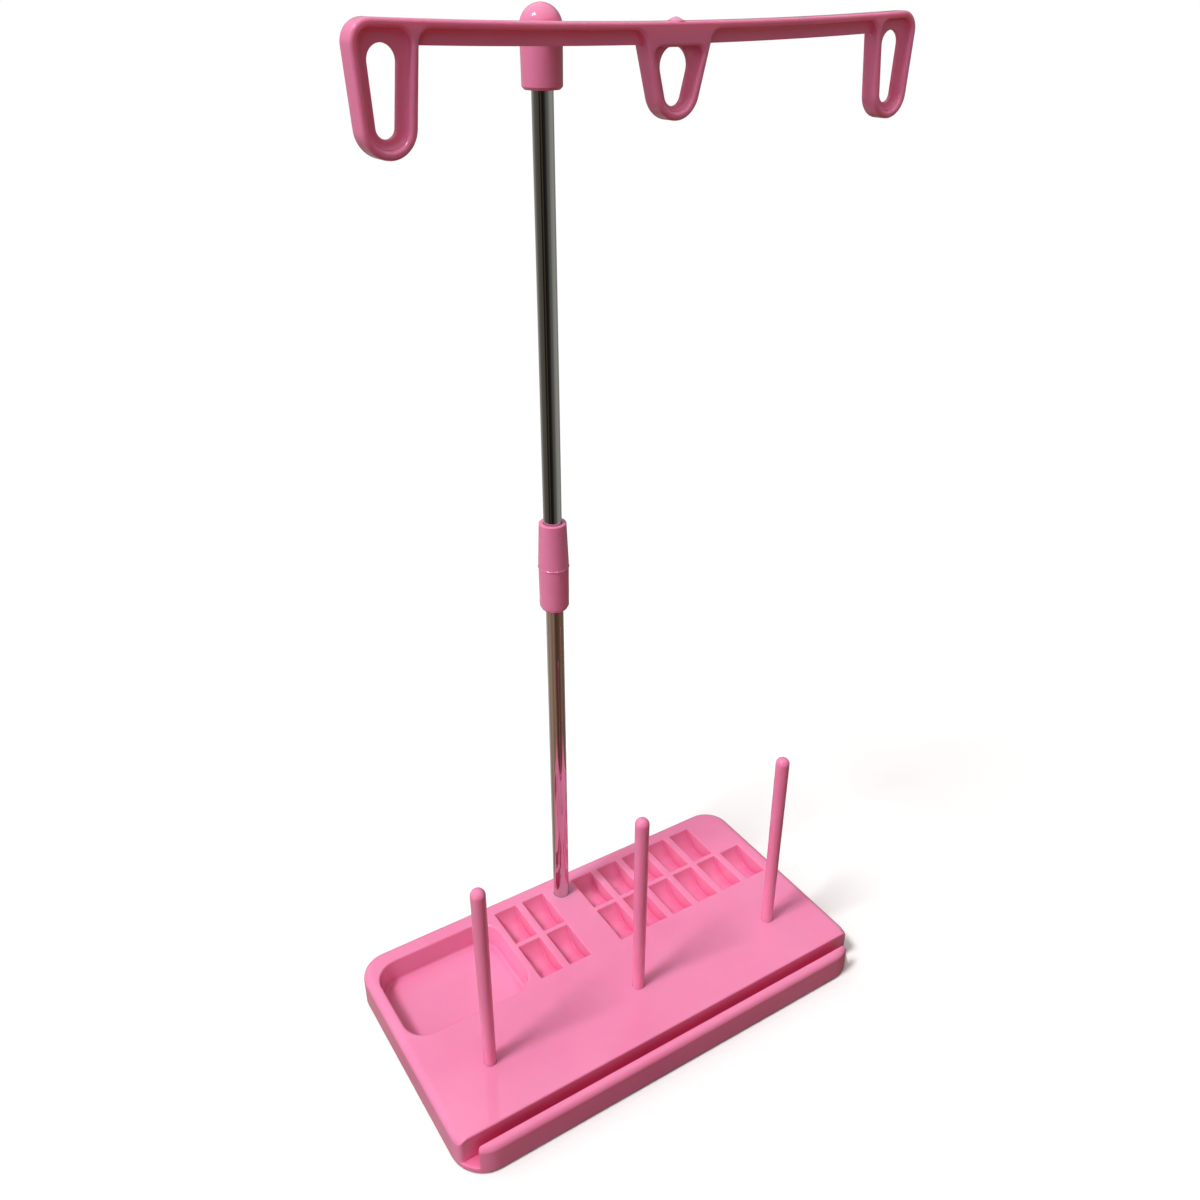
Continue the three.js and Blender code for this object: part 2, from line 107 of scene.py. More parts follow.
# Tray
TRAY_INSET_LEFT = 5.5
TRAY_INSET_BACK = 9.6
TRAY_CELL_WALL = 3.4
TRAY_WIDTH = 50.6
TRAY_DEPTH = 12
TRAY_CORNER = 12
TRAY_DRAFT = 1.4
TRAY_FLOOR_RADIUS = 1.6
TRAY_EDGE = 0.9
TRAY_SHELL = 2

# Spool pins and the post's tubes; each gap is the clearance round them in their sockets
PIN_FOOT_RADIUS = 2.9
PIN_SOCKET_GAP = 0.05
PIN_END_CHAMFER = 0.4
PIN_BOSS_WALL = 2.2
TUBE_WALL = 0.6
TUBE_RIM = 0.15
POST_SOCKET_GAP = 0.06
POST_BOSS_WALL = 2.2
SOCKET_EDGE = 0.1

# Pads
PAD_GAP = 0.3
PAD_BOSS_WALL = 1.6
PAD_EDGE = 0.5

# Coupler sleeve: its walls are measured out from its bore
COUPLER_GAP = 0.3
COUPLER_TOP_WALL = 1.8
COUPLER_BELLY_WALL = 2.6
COUPLER_SHOULDER_WALL = 2.35
COUPLER_BOTTOM_WALL = 1.45
COUPLER_END_CHAMFER = 1.7
COUPLER_RIM = 0.4

# Seam round the coupler's belly, and the flake on it, with the direction in which the flake points
SEAM_RISE = 1.2
SEAM_RIDGE = 0.22
SEAM_STEP = 0.12
BURR_HALF = 0.85
BURR_TOP_OFFSET = 0.2125
BURR_HEIGHT = 1.0
BURR_REACH = 0.65
BURR_TIP = 0.15
BURR_TOWARDS = 254

# Thread guide: a bowed crossbar with a flange above a thin web, and eyelets with pockets in their rims
GUIDE_TURN = 3.65
GUIDE_REACH = 77.75
GUIDE_HALF = 108.7
GUIDE_DEPTH = 7
GUIDE_RISE = 7.2
GUIDE_BOW = 2.35
GUIDE_EDGE = 1.15
FLANGE = 2.5
WEB_HEIGHT = 6.4
WEB = 1.6
RIM = 2.5
WEB_CORNER = 1.2
WEB_FILLET = 1.1
BAY_CORNER = 3.6
POCKET_EDGE = 1.1
POCKET_FLOOR = 1.5
END_POCKET_CORNER = 3.6
MID_POCKET_CORNER = 2
MID_POCKET_GAP = 0.625
HOLE_EDGE = 0.45

# How far the web is drawn in from an outline that it shares with the rims, so that no two faces coincide
HAIR = 0.02

# End eyelet, measured in from the crossbar's end and down from its top edge; a hole is two circles, each
# given by its inset, drop and radius
END_WIDTH = 20.6
END_LEAN = 1.1
END_DROP = 34.6
END_BOTTOM_RADIUS = 8.4
END_CORNER = 6.3
END_HOLE_TOP = (9.9, 10.3, 4.3)
END_HOLE_BOTTOM = (9.4, 26.35, 3)

# Middle eyelet, with a hole of two circles on its middle line, each given by its drop and radius
MID_HALF = 12.7
MID_DROP = 27.9
MID_BOTTOM_RADIUS = 8.9
MID_HOLE_TOP = (12.4, 5.6)
MID_HOLE_BOTTOM = (20.3, 3.5)

# Cap of the guide, and the arm from the cap to the crossbar
CAP_GRIP = 16
CAP_GAP = 0.3
CAP_WALL = 3.4
CAP_DRAFT = 0.2
CAP_CHAMFER = 1
CAP_ROOF = 4.2
CAP_SEAT_GAP = 0.3
ARM_TOP_DROP = 1.2
ARM_PLATE = 2.4
ARM_HEIGHT = 5.8
ARM_ROOT_HALF = 14
ARM_HUB_HALF = 5.5
ARM_FLARE = 28
ARM_RIB = 3
ARM_EDGE = 0.6

# Mark of the mould's gate on top of the crossbar
NUB_HEIGHT = 1.1
NUB_RADIUS = 3.2
NUB_OFFSET = 0.65

# Fineness of the curves, as the number of straight steps in each
ROUND = 96
EDGE_STEPS = 6
TOP_EDGE_STEPS = 12
SMALL_EDGE_STEPS = 2
CELL_FILLET_STEPS = 3
CORNER_STEPS = 12
EYELET_STEPS = 24
DOME_STEPS = 24
NUB_STEPS = 12
SCOOP_STEPS = 40
BOW_STEPS = 60
ARM_STEPS = 30

# How far a cutter runs past the face that it opens
PAST = 1

# The direction in which an outline drawn as a front view faces
FRONT_VIEW_TOWARDS = 270

# Levels and places worked out from the sizes above; BELOW, ABOVE and FAR lie clear of the base
BELOW = SHELL_BOTTOM - PAST
ABOVE = BASE_TOP + PAST
FAR = RIGHT - LEFT
LIP_TOP = BASE_TOP - LIP_DROP
SLOT_FLOOR = BASE_TOP - SLOT_DEPTH
LIP_BACK = FRONT + LIP_THICKNESS
BODY_FRONT = LIP_BACK + SLOT_WIDTH
CELL_BACK = BACK - CELL_INSET_BACK
CELL_PITCH_X = CELL_WIDTH + CELL_WALL_X
CELL_PITCH_Y = CELL_LENGTH + CELL_WALL_Y
CELL_FRONT = CELL_BACK - CELL_PITCH_Y - CELL_LENGTH
LEFT_CELLS = -POST_GAP_HALF - LEFT_COLUMNS * CELL_PITCH_X + CELL_WALL_X
TRAY_LEFT = LEFT + TRAY_INSET_LEFT
TRAY_RIGHT = LEFT_CELLS - TRAY_CELL_WALL
TRAY_BACK = BACK - TRAY_INSET_BACK
TRAY_FRONT = TRAY_BACK - TRAY_WIDTH
PINS = {side: round_node("spool_pin_" + side) for side in ("left", "center", "right")}
PADS = [
    round_node("foot_pad_" + corner)
    for corner in ("front_left", "front_right", "back_left", "back_right")]
LOWER_TUBE = round_node("lower_tube")
UPPER_TUBE = round_node("upper_tube")
COUPLER = round_node("tube_coupler")
TUBE_RADIUS = LOWER_TUBE["radius"]
POST_Y = LOWER_TUBE["y"]
POST_SOCKET_RADIUS = TUBE_RADIUS + POST_SOCKET_GAP
PIN_SOCKET_RADIUS = PIN_FOOT_RADIUS + PIN_SOCKET_GAP
GUIDE_TOP = UPPER_TUBE["top"] + GUIDE_RISE
GUIDE_FRONT = -GUIDE_REACH
GUIDE_BACK = GUIDE_FRONT + GUIDE_DEPTH
GUIDE_MIDDLE = (GUIDE_FRONT + GUIDE_BACK) / 2
WEB_FRONT = GUIDE_MIDDLE - WEB / 2
WEB_BACK = GUIDE_MIDDLE + WEB / 2
CAP_BORE = TUBE_RADIUS + CAP_GAP
CAP_RADIUS = CAP_BORE + CAP_WALL
CAP_BOTTOM = UPPER_TUBE["top"] - CAP_GRIP


# Outlines

def arc(x, y, radius, start, end, steps):
    """Points of an arc between two angles in degrees, both ends included."""
    angles = [math.radians(start + (end - start) * i / steps) for i in range(steps + 1)]
    return [(x + radius * math.cos(a), y + radius * math.sin(a)) for a in angles]


def fillet(before, corner, after, radius):
    """The arc that rounds a corner between two straight lines."""
    corner = Vector(corner)
    back = (Vector(before) - corner).normalized()
    ahead = (Vector(after) - corner).normalized()
    half = back.angle(ahead) / 2
    start = corner + back * radius / math.tan(half)
    end = corner + ahead * radius / math.tan(half)
    centre = corner + (back + ahead).normalized() * radius / math.sin(half)
    points = []
    for i in range(EDGE_STEPS + 1):
        direction = (start - centre).lerp(end - centre, i / EDGE_STEPS).normalized()
        points.append(tuple(centre + direction * radius))
    return points


def counter_clockwise(points):
    area = sum(a[0] * b[1] - b[0] * a[1] for a, b in zip(points, points[1:] + points[:1]))
    return points if area > 0 else points[::-1]


def grown(points, distance):
    """A closed outline moved outwards by a distance, or inwards by a negative one."""
    points = [Vector(p) for p in counter_clockwise(points)]
    moved = []
    for before, here, after in zip(points[-1:] + points[:-1], points, points[1:] + points[:1]):
        first = (here - before).normalized()
        second = (after - here).normalized()
        normal = Vector((first.y + second.y, -first.x - second.x))
        moved.append(here + normal * distance / (1 + first.dot(second)))
    return [tuple(p) for p in moved]


def mirrored(points):
    """An outline on the other side of the middle line, with its points in the opposite order."""
    return [(-x, y) for x, y in points][::-1]


def rounded_rectangle(x0, x1, y0, y1, front_radius, back_radius, inset=0):
    """A rectangle drawn in by an inset, with one radius for its front corners and one for its back ones."""
    front = front_radius - inset
    back = back_radius - inset
    return [
        *arc(x0 + front_radius, y0 + front_radius, front, 180, 270, CORNER_STEPS),
        *arc(x1 - front_radius, y0 + front_radius, front, 270, 360, CORNER_STEPS),
        *arc(x1 - back_radius, y1 - back_radius, back, 0, 90, CORNER_STEPS),
        *arc(x0 + back_radius, y1 - back_radius, back, 90, 180, CORNER_STEPS),
    ]


def quarter_round(radius, steps):
    """(inset, distance) pairs of a rounded edge: from the face, where the inset is full, to the side."""
    return [(radius - y, radius - x) for x, y in arc(0, 0, radius, 0, 90, steps)]


def edge_from(face, radius, steps=EDGE_STEPS):
    """(inset, place) pairs of the rounded edge at a body's first face."""
    return [(inset, face + distance) for inset, distance in quarter_round(radius, steps)]


def edge_to(face, radius, steps=EDGE_STEPS):
    """(inset, place) pairs of the rounded edge at a body's last face."""
    return [(inset, face - distance) for inset, distance in reversed(quarter_round(radius, steps))]


def plan(points, z):
    return [(x, y, z) for x, y in points]


def front_view(points, y):
    return [(x, y, z) for x, z in points]


def side_view(points, x):
    return [(x, y, z) for y, z in points]


# Solid bodies

def new_object(name, bm):
    bmesh.ops.recalc_face_normals(bm, faces=bm.faces)
    mesh = bpy.data.meshes.new(name)
    bm.to_mesh(mesh)
    bm.free()
    body = bpy.data.objects.new(name, mesh)
    bpy.context.scene.collection.objects.link(body)
    return body


def loft(loops):
    """A closed body through loops of points, with the first and the last loop filled in."""
    bm = bmesh.new()
    rings = [[bm.verts.new(point) for point in loop] for loop in loops]
    bm.faces.new(rings[0][::-1])
    bm.faces.new(rings[-1])
    for lower, upper in zip(rings, rings[1:]):
        for i, corner in enumerate(lower):
            bm.faces.new((lower[i - 1], corner, upper[i], upper[i - 1]))
    return new_object("loft", bm)


def turned(profile, x=0, y=0):
    """A body turned about an upright axis, from (radius, height) pairs; radius 0 is on the axis."""
    bm = bmesh.new()
    rings = []
    for radius, height in profile:
        points = [(0, 0)] if radius == 0 else arc(0, 0, radius, 0, 360, ROUND)[:-1]
        rings.append([bm.verts.new((x + px, y + py, height)) for px, py in points])
    pairs = list(zip(rings, rings[1:]))
    if len(rings[0]) > 1:
        pairs.append((rings[-1], rings[0]))
    for lower, upper in pairs:
        for i in range(ROUND):
            corners = []
            for ring, k in ((lower, i - 1), (lower, i), (upper, i), (upper, i - 1)):
                corner = ring[k] if len(ring) > 1 else ring[0]
                if corner not in corners:
                    corners.append(corner)
            bm.faces.new(corners)
    return new_object("turned", bm)


def block(x0, x1, y0, y1, z0, z1):
    corners = [(x0, y0), (x1, y0), (x1, y1), (x0, y1)]
    return loft([plan(corners, z0), plan(corners, z1)])


def rod(x, y, radius, z0, z1):
    return turned([(0, z0), (radius, z0), (radius, z1), (0, z1)], x, y)


def apply_modifiers(body):
    depsgraph = bpy.context.evaluated_depsgraph_get()
    mesh = bpy.data.meshes.new_from_object(body.evaluated_get(depsgraph))
    body.modifiers.clear()
    body.data = mesh


def combine(body, others, operation):
    """Joins the other bodies to a body, cuts them from it or keeps what they share, and removes them."""
    for other in others:
        modifier = body.modifiers.new("combine", "BOOLEAN")
        modifier.operation = operation
        modifier.solver = "MANIFOLD"
        modifier.object = other
        apply_modifiers(body)
        bpy.data.objects.remove(other)
    return body


def put_on_post(body, turn):
    """Turns a body that was built about the origin, and moves it to the post's axis."""
    rotation = Matrix.Rotation(math.radians(turn), 4, "Z")
    body.data.transform(Matrix.Translation((0, POST_Y, 0)) @ rotation)
    return body


# Base moulding

def shell_loft(top, edge):
    """The base's outer form up to one level, with a rounded edge round its top."""
    levels = edge_from(SHELL_BOTTOM, BOTTOM_EDGE, SMALL_EDGE_STEPS) + edge_to(top, edge, TOP_EDGE_STEPS)
    return loft([
        plan(rounded_rectangle(LEFT, RIGHT, FRONT, BACK, FRONT_CORNER, BACK_CORNER, inset), z)
        for inset, z in levels])


def body_block():
    """The space behind the slot, with the slot's back edge rounded."""
    edge = [(BODY_FRONT + inset, z) for inset, z in edge_to(BASE_TOP, SLOT_EDGE)]
    side = [
        (BODY_FRONT, BELOW),
        *edge,
        (BODY_FRONT + SLOT_EDGE, ABOVE),
        (BACK + PAST, ABOVE),
        (BACK + PAST, BELOW)]
    return loft([side_view(side, x) for x in (-FAR, FAR)])


def lip_block():
    """The space of the lip, with its ends, its end corners and its top back edge rounded."""
    left = LEFT + LIP_END_INSET
    right = RIGHT - LIP_END_INSET
    # Its front is clear of the base, so only its back corners round the lip
    front = FRONT - 2 * LIP_END_RADIUS
    levels = [(0, BELOW), *edge_to(LIP_TOP, LIP_BACK_EDGE), (LIP_BACK_EDGE, ABOVE)]
    space = loft([
        plan(rounded_rectangle(left, right, front, LIP_BACK, LIP_END_RADIUS, LIP_END_RADIUS, inset), z)
        for inset, z in levels])
    centre_z = LIP_TOP - LIP_END_EDGE
    outline = [
        (left, BELOW),
        (right, BELOW),
        *arc(right - LIP_END_EDGE, centre_z, LIP_END_EDGE, 0, 90, CORNER_STEPS),
        *arc(left + LIP_END_EDGE, centre_z, LIP_END_EDGE, 90, 180, CORNER_STEPS)]
    ends = loft([front_view(outline, y) for y in (front - PAST, LIP_BACK + PAST)])
    return combine(space, [ends], "INTERSECT")


def slot_end_cutters():
    """The space outside the rounded upright corners between the base's ends and the slot."""
    # The base's round front corner meets the slot's back edge here, and runs on along its tangent
    rise = FRONT + FRONT_CORNER - BODY_FRONT
    run = math.sqrt(FRONT_CORNER ** 2 - rise ** 2)
    corner = (LEFT + FRONT_CORNER - run, BODY_FRONT)
    along_end = (corner[0] - rise, corner[1] + run)
    rounded = fillet(along_end, corner, (0, BODY_FRONT), SLOT_END_ROUND)
    left = [
        *rounded,
        (rounded[-1][0], BODY_FRONT - PAST),
        (LEFT - PAST, BODY_FRONT - PAST),
        (LEFT - PAST, rounded[0][1])]
    levels = [(0, BELOW), *edge_to(BASE_TOP, SLOT_EDGE), (SLOT_EDGE, ABOVE)]
    return [
        loft([plan(grown(outline, inset), z) for inset, z in levels])
        for outline in (left, mirrored(left))]


def base_envelope():
    """The base without its cells, tray, sockets and hollow."""
    body = combine(shell_loft(BASE_TOP, TOP_EDGE), [body_block()], "INTERSECT")
    body = combine(body, slot_end_cutters(), "DIFFERENCE")
    lip = combine(shell_loft(LIP_TOP, LIP_EDGE), [lip_block()], "INTERSECT")
    return combine(body, [shell_loft(SLOT_FLOOR, SLOT_FLOOR_EDGE), lip], "UNION")


def cell_runs():
    """The runs of cells side by side, as the first cell's left side, the count and the back side."""
    runs = []
    for row, right_columns in enumerate(RIGHT_COLUMNS):
        y_back = CELL_BACK - row * CELL_PITCH_Y
        runs.append((LEFT_CELLS, LEFT_COLUMNS, y_back))
        runs.append((POST_GAP_HALF, right_columns, y_back))
    return runs


def scoop_cutter(x0, y_back):
    """A cell's space: upright ends, and a floor that is an arc along the cell's length."""
    middle = y_back - CELL_LENGTH / 2
    radius = (CELL_LENGTH ** 2 / 4 + CELL_DEPTH ** 2) / (2 * CELL_DEPTH)
    rise = radius - CELL_DEPTH
    slices = edge_from(x0, CELL_FILLET, CELL_FILLET_STEPS)
    slices += edge_to(x0 + CELL_WIDTH, CELL_FILLET, CELL_FILLET_STEPS)
    loops = []
    for inset, x in slices:
        spread = math.degrees(math.acos(rise / (radius - inset)))
        side = arc(middle, BASE_TOP + rise, radius - inset, 270 - spread, 270 + spread, SCOOP_STEPS)
        side += [(side[-1][0], ABOVE), (side[0][0], ABOVE)]
        loops.append(side_view(side, x))
    return loft(loops)


def mouth_cutter(x0, y_back):
    """Rounds the edge of a cell's mouth in the top face."""
    x1 = x0 + CELL_WIDTH
    y_front = y_back - CELL_LENGTH
    levels = [(-inset, z) for inset, z in edge_to(BASE_TOP, CELL_EDGE)]
    levels.append((-CELL_EDGE, ABOVE))
    return loft([
        plan(rounded_rectangle(x0, x1, y_front, y_back, CELL_FILLET, CELL_FILLET, inset), z)
        for inset, z in levels])


def cell_cutters():
    cutters = []
    for start, count, y_back in cell_runs():
        for column in range(count):
            x0 = start + column * CELL_PITCH_X
            cutters.append(combine(scoop_cutter(x0, y_back), [mouth_cutter(x0, y_back)], "UNION"))
    return cutters


def tray_loft(margin=0):
    """The tray's space, or with a margin the tub round it; it narrows towards its floor."""
    floor = BASE_TOP - TRAY_DEPTH - margin
    levels = [(inset + TRAY_DRAFT, z) for inset, z in edge_from(floor, TRAY_FLOOR_RADIUS)]
    levels += [(-inset, z) for inset, z in edge_to(BASE_TOP, TRAY_EDGE)]
    levels.append((-TRAY_EDGE, ABOVE))
    sides = (TRAY_LEFT - margin, TRAY_RIGHT + margin, TRAY_FRONT - margin, TRAY_BACK + margin)
    corner = TRAY_CORNER + margin
    return loft([plan(rounded_rectangle(*sides, corner, corner, inset), z) for inset, z in levels])


def cell_blocks():
    """The walls round each run of cells, seen from below."""
    blocks = []
    for start, count, y_back in cell_runs():
        end = start + count * CELL_PITCH_X - CELL_WALL_X
        blocks.append(block(
            start - CELL_SHELL, end + CELL_SHELL,
            y_back - CELL_LENGTH - CELL_SHELL, y_back + CELL_SHELL,
            BASE_TOP - CELL_DEPTH - CELL_SHELL, BASE_TOP))
    return blocks


def ribs():
    """A rib along the middle line, one across through the pins and one across in front of the cells."""
    bottom = SHELL_BOTTOM + RIB_BOTTOM_GAP
    across = [
        block(-FAR, FAR, y - RIB / 2, y + RIB / 2, bottom, BASE_TOP)
        for y in (PINS["left"]["y"], CELL_FRONT)]
    return [block(-RIB / 2, RIB / 2, -FAR, FAR, bottom, BASE_TOP), *across]


def bosses():
    """The round walls about the sockets of the post and pins and about the pads' seats."""
    standing = [rod(0, POST_Y, POST_SOCKET_RADIUS + POST_BOSS_WALL, SHELL_BOTTOM, BASE_TOP)]
    for pin in PINS.values():
        radius = PIN_SOCKET_RADIUS + PIN_BOSS_WALL
        standing.append(rod(pin["x"], pin["y"], radius, SHELL_BOTTOM, BASE_TOP))
    for pad in PADS:
        radius = pad["radius"] + PAD_GAP + PAD_BOSS_WALL
        standing.append(rod(pad["x"], pad["y"], radius, SHELL_BOTTOM, BASE_TOP))
    return standing


def underside_cutter():
    """The open hollow below the base, less the tub, cell blocks, ribs and bosses that stand in it."""
    sides = (LEFT + SIDE_WALL, RIGHT - SIDE_WALL, BODY_FRONT + SIDE_WALL, BACK - SIDE_WALL)
    inner = rounded_rectangle(*sides, SIDE_WALL, BACK_CORNER - SIDE_WALL)
    hollow = loft([plan(inner, BELOW), plan(inner, BASE_TOP - TOP_PLATE)])
    return combine(hollow, [tray_loft(TRAY_SHELL), *cell_blocks(), *ribs(), *bosses()], "DIFFERENCE")


def socket_cutter(x, y, radius, floor):
    """A round socket from the top face down to its floor, with its mouth a little rounded."""
    rim = [(radius + inset, z) for inset, z in edge_to(BASE_TOP, SOCKET_EDGE, SMALL_EDGE_STEPS)]
    return turned([(0, floor), (radius, floor), *rim, (radius + SOCKET_EDGE, ABOVE), (0, ABOVE)], x, y)


def base_moulding():
    cutters = [underside_cutter(), tray_loft(), *cell_cutters()]
    cutters.append(socket_cutter(0, POST_Y, POST_SOCKET_RADIUS, LOWER_TUBE["bottom"]))
    for pin in PINS.values():
        cutters.append(socket_cutter(pin["x"], pin["y"], PIN_SOCKET_RADIUS, pin["bottom"]))
    for pad in PADS:
        cutters.append(rod(pad["x"], pad["y"], pad["radius"] + PAD_GAP, BELOW, pad["top"]))
    return combine(base_envelope(), cutters, "DIFFERENCE")


# Small turned pieces

def spool_pin(pin):
    """A pin with a straight foot in its socket, which widens above the base up to its round tip."""
    tip = pin["radius"]
    return turned([
        (0, pin["bottom"]),
        (PIN_FOOT_RADIUS - PIN_END_CHAMFER, pin["bottom"]),
        (PIN_FOOT_RADIUS, pin["bottom"] + PIN_END_CHAMFER),
        (PIN_FOOT_RADIUS, BASE_TOP),
        *arc(0, pin["top"] - tip, tip, 0, 90, DOME_STEPS)[:-1],
        (0, pin["top"])], pin["x"], pin["y"])


def foot_pad(pad):
    edge = [(pad["radius"] - inset, z) for inset, z in edge_from(pad["bottom"], PAD_EDGE)]
    return turned([
        (0, pad["bottom"]),
        *edge,
        (pad["radius"], pad["top"]),
        (0, pad["top"])], pad["x"], pad["y"])


def tube(piece):
    """An open tube with a small chamfer outside at both ends."""
    bottom = piece["bottom"]
    top = piece["top"]
    inner = TUBE_RADIUS - TUBE_WALL
    return turned([
        (inner, bottom),
        (TUBE_RADIUS - TUBE_RIM, bottom),
        (TUBE_RADIUS, bottom + TUBE_RIM),
        (TUBE_RADIUS, top - TUBE_RIM),
        (TUBE_RADIUS - TUBE_RIM, top),
        (inner, top)], 0, POST_Y)


def seam_burr(radius, seam):
    """The pointed flake of plastic that stands on the coupler's seam, smaller towards its tip."""
    slices = [(1, PAST - radius), (1, -radius), (BURR_TIP, -radius - BURR_REACH)]
    flake = loft([
        front_view([
            (-BURR_HALF * size, seam - SEAM_RIDGE * size),
            (BURR_HALF * size, seam - SEAM_RIDGE * size),
            (BURR_TOP_OFFSET * size, seam + BURR_HEIGHT * size)], y)
        for size, y in slices])
    return put_on_post(flake, BURR_TOWARDS - FRONT_VIEW_TOWARDS)


def coupler():
    """The sleeve: a blind socket from each end, and a bulging wall with a seam and its flake."""
    bottom = COUPLER["bottom"]
    top = COUPLER["top"]
    stop_bottom = LOWER_TUBE["top"]
    stop_top = UPPER_TUBE["bottom"]
    seam = stop_bottom + SEAM_RISE
    bore = TUBE_RADIUS + COUPLER_GAP
    belly = bore + COUPLER_BELLY_WALL
    rim = [(bore + COUPLER_TOP_WALL - inset, z) for inset, z in edge_to(top, COUPLER_RIM)]
    body = turned([
        (0, stop_bottom),
        (bore, stop_bottom),
        (bore, bottom),
        (bore + COUPLER_BOTTOM_WALL, bottom),
        (bore + COUPLER_SHOULDER_WALL, bottom + COUPLER_END_CHAMFER),
        (belly - SEAM_STEP, seam - SEAM_RIDGE),
        (belly + SEAM_RIDGE, seam),
        (belly, seam + SEAM_RIDGE),
        *rim,
        (bore, top),
        (bore, stop_top),
        (0, stop_top)], 0, POST_Y)
    return combine(body, [seam_burr(belly, seam)], "UNION")


# Thread guide, built with the post's axis at the origin and the crossbar along X

def bar_top(x):
    """Height of the crossbar's bowed top edge."""
    return GUIDE_TOP + GUIDE_BOW * (x / GUIDE_HALF) ** 2


def bar_line(x0, x1, below):
    """Points along the crossbar at a fixed distance below its top edge."""
    xs = [x0 + (x1 - x0) * i / BOW_STEPS for i in range(BOW_STEPS + 1)]
    return [(x, bar_top(x) - below) for x in xs]


END_TOP = bar_top(GUIDE_HALF - END_CORNER)
END_BOTTOM_X = GUIDE_HALF - END_LEAN - END_BOTTOM_RADIUS
END_BOTTOM_Z = END_TOP - END_DROP + END_BOTTOM_RADIUS
END_INNER_X = GUIDE_HALF - END_WIDTH
MID_BOTTOM_Z = GUIDE_TOP - MID_DROP + MID_BOTTOM_RADIUS


def touch_angle(point, x, z, radius, side):
    """The angle where a line from a point touches a circle, on its right for side 1, its left for -1."""
    away = math.atan2(point[1] - z, point[0] - x)
    return math.degrees(away - side * math.acos(radius / math.dist(point, (x, z))))


def along_side(high, low, z):
    """The point at a height on the line between two points."""
    share = (high[1] - z) / (high[1] - low[1])
    return high[0] + (low[0] - high[0]) * share, z


def end_arc(inset):
    """The round bottom of the right end eyelet, from its inner side to its outer side."""
    radius = END_BOTTOM_RADIUS - inset
    inner = (END_INNER_X + inset, bar_top(END_INNER_X) - inset)
    outer = (GUIDE_HALF - inset, END_TOP - END_CORNER)
    start = touch_angle(inner, END_BOTTOM_X, END_BOTTOM_Z, radius, -1)
    end = touch_angle(outer, END_BOTTOM_X, END_BOTTOM_Z, radius, 1)
    return arc(END_BOTTOM_X, END_BOTTOM_Z, radius, start, end + 360, EYELET_STEPS)


def mid_arc(inset):
    """The round bottom of the middle eyelet, from its left side to its right side."""
    radius = MID_BOTTOM_RADIUS - inset
    angle = touch_angle((MID_HALF - inset, GUIDE_TOP - WEB_HEIGHT), 0, MID_BOTTOM_Z, radius, 1)
    return arc(0, MID_BOTTOM_Z, radius, 180 - angle, 360 + angle, EYELET_STEPS)


def mid_side(inset, drop):
    """The point on the middle eyelet's right side at a drop below the top edge."""
    return along_side((MID_HALF - inset, GUIDE_TOP - WEB_HEIGHT), mid_arc(inset)[-1], GUIDE_TOP - drop)


def guide_outline(bar_height, corner):
    """Front view of the crossbar and its eyelets, for one height of the bar between the eyelets."""
    mid_bottom = mid_arc(0)
    right_of_middle = mid_bottom[len(mid_bottom) // 2:]
    end_bottom = end_arc(0)
    end_inner = (END_INNER_X, bar_top(END_INNER_X))
    near = mid_side(0, bar_height)
    far = along_side(end_inner, end_bottom[0], end_inner[1] - bar_height)
    # The line between the eyelets keeps clear of the arcs at both its corners
    clear = 2 * corner
    bay = bar_line(near[0] + clear, far[0] - clear, bar_height)
    right = [
        *right_of_middle,
        *fillet(mid_bottom[-1], near, bay[0], corner),
        *bay,
        *fillet(bay[-1], far, end_bottom[0], corner),
        *end_bottom,
        *arc(GUIDE_HALF - END_CORNER, END_TOP - END_CORNER, END_CORNER, 0, 90, CORNER_STEPS),
        *bar_line(GUIDE_HALF - END_CORNER, 0, 0)[1:],
    ]
    return counter_clockwise(right + mirrored(right)[1:-1])


def end_pocket():
    corner_x = GUIDE_HALF - END_CORNER
    inner_top = (END_INNER_X + RIM, bar_top(END_INNER_X + RIM) - RIM)
    bottom = end_arc(RIM)
    return [
        *arc(corner_x, END_TOP - END_CORNER, END_CORNER - RIM, 0, 90, CORNER_STEPS),
        *fillet((corner_x, END_TOP - RIM), inner_top, bottom[0], END_POCKET_CORNER),
        *bottom,
    ]


def mid_pocket():
    top_right = mid_side(RIM, WEB_HEIGHT + MID_POCKET_GAP)
    top_left = (-top_right[0], top_right[1])
    bottom = mid_arc(RIM)
    return [
        *bottom,
        *fillet(bottom[-1], top_right, top_left, MID_POCKET_CORNER),
        *fillet(top_right, top_left, bottom[0], MID_POCKET_CORNER),
    ]


def drop_outline(top, bottom):
    """Two circles, one above the other, wrapped by their common tangents; each is (x, z, radius)."""
    lean = math.degrees(math.asin((top[2] - bottom[2]) / math.dist(top[:2], bottom[:2])))
    tilt = -math.degrees(math.atan2(top[0] - bottom[0], top[1] - bottom[1]))
    return [
        *arc(*top, tilt - lean, tilt + 180 + lean, EYELET_STEPS),
        *arc(*bottom, tilt + 180 + lean, tilt + 360 - lean, EYELET_STEPS),
    ]


def end_hole():
    top_inset, top_drop, top_radius = END_HOLE_TOP
    low_inset, low_drop, low_radius = END_HOLE_BOTTOM
    return drop_outline((GUIDE_HALF - top_inset, END_TOP - top_drop, top_radius),
                        (GUIDE_HALF - low_inset, END_TOP - low_drop, low_radius))


def mid_hole():
    top_drop, top_radius = MID_HOLE_TOP
    low_drop, low_radius = MID_HOLE_BOTTOM
    return drop_outline((0, GUIDE_TOP - top_drop, top_radius), (0, GUIDE_TOP - low_drop, low_radius))


